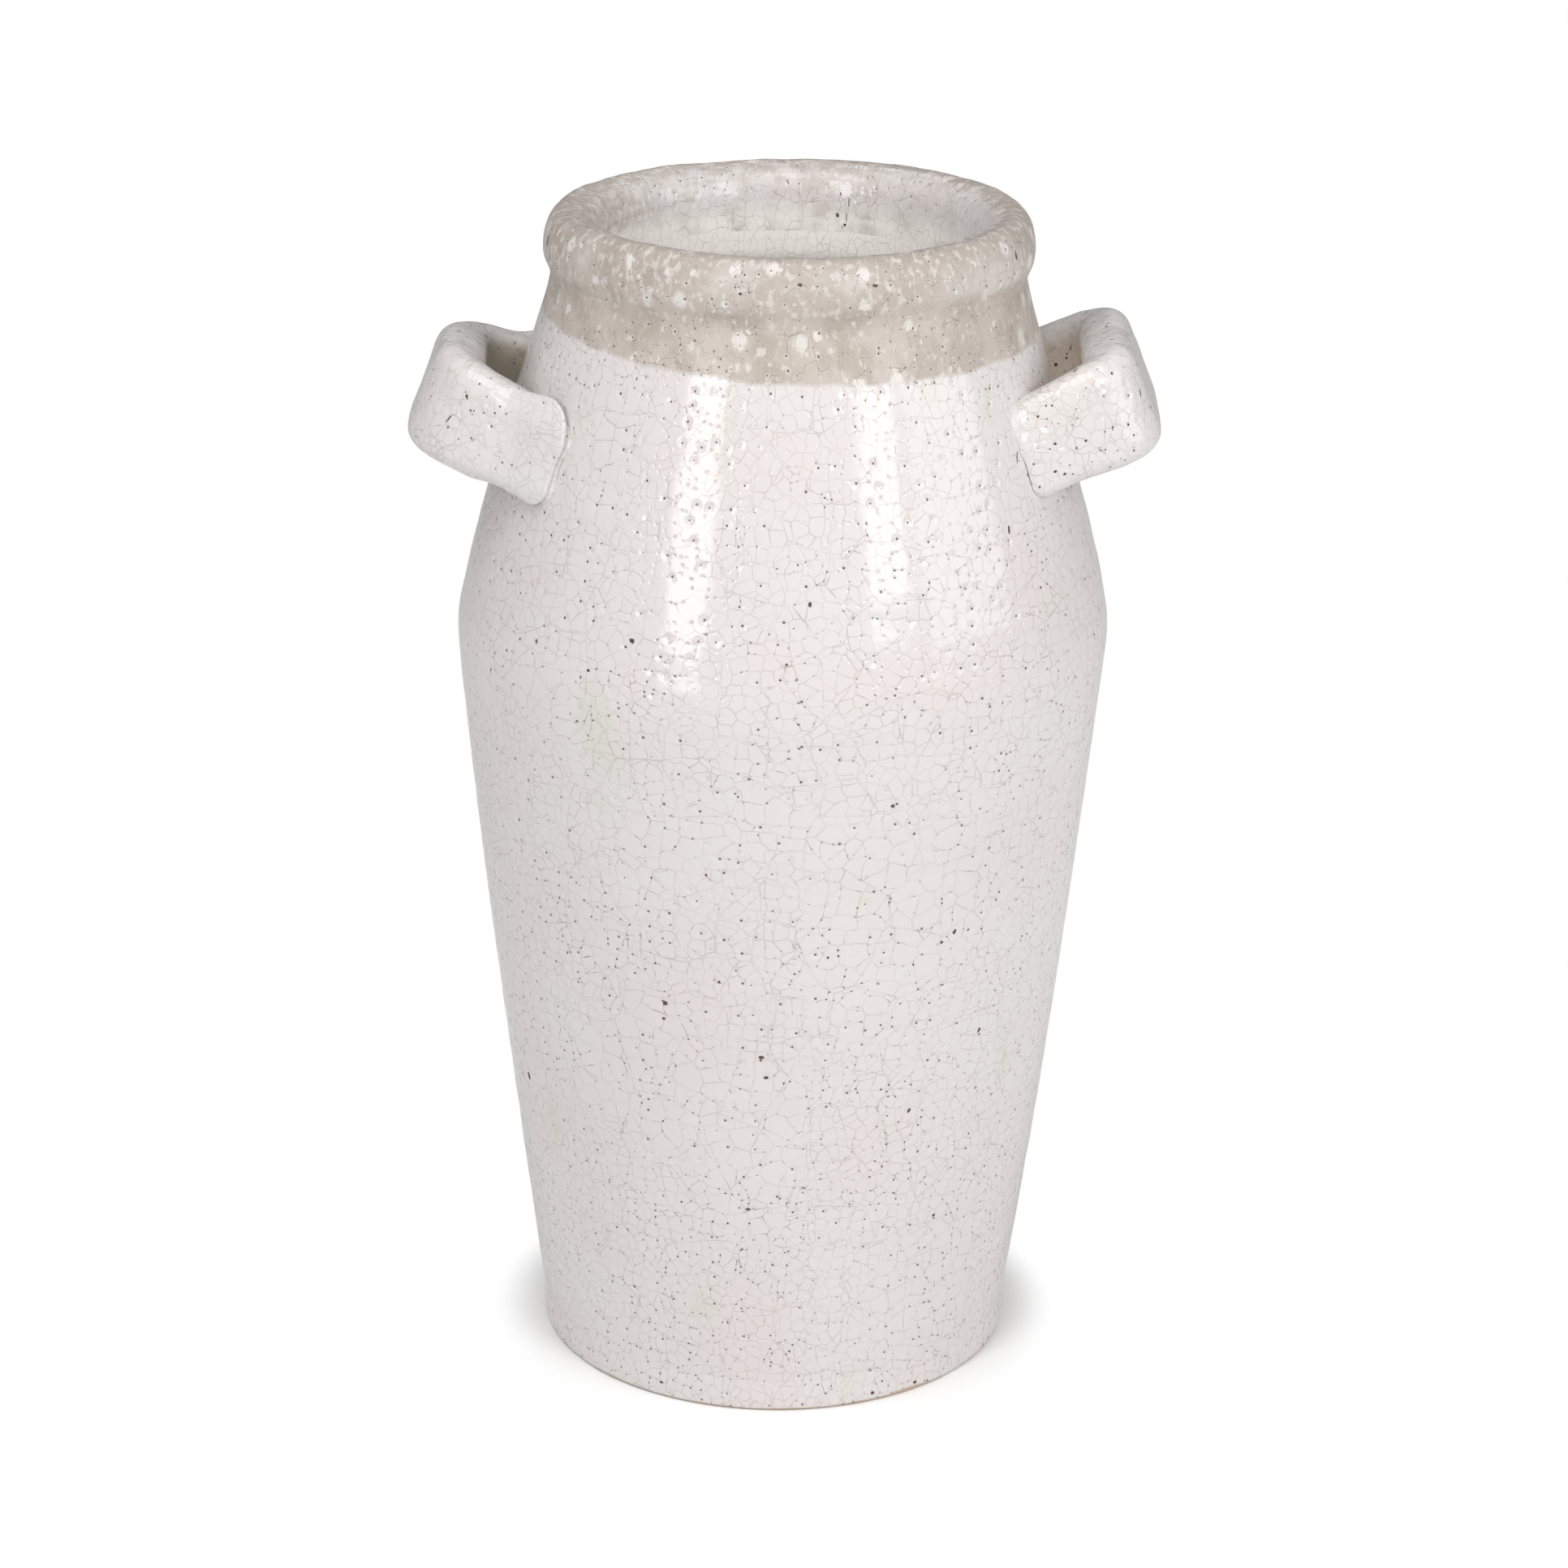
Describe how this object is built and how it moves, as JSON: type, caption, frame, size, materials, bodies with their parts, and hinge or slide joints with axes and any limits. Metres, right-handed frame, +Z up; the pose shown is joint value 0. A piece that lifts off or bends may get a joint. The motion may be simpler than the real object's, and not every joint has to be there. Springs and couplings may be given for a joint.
{
  "type": "handled vase",
  "caption": "Tall stoneware vase with a tapered body, conical shoulder, thick rolled lip and a strap handle on each side, in crackled white glaze with a taupe neck.",
  "frame": {"origin": "middle of the foot's underside, on the surface that the vase stands on", "axes": "+Z up; the handles point along -X and +X; the front that the picture shows faces -Y"},
  "size_m": [0.2459, 0.2164, 0.394],
  "materials": {
    "white_glaze": "glossy off-white crackle glaze with dark pinholes and a few small chips",
    "taupe_glaze": "semi-matt taupe glaze with white blotches and fine crackle",
    "bare_clay": "matt unglazed tan stoneware, as on the foot ring"
  },
  "bodies": {
    "root": {"base_slab": "bare_clay", "lower_wall": "white_glaze", "shoulder_wall": "white_glaze", "neck_collar": "taupe_glaze", "rolled_lip": "taupe_glaze", "handle_left": "white_glaze", "handle_right": "white_glaze", "luting_coil_left_front": "white_glaze", "luting_coil_left_back": "white_glaze", "luting_coil_right_front": "white_glaze", "luting_coil_right_back": "white_glaze"}
  },
  "joints": []
}
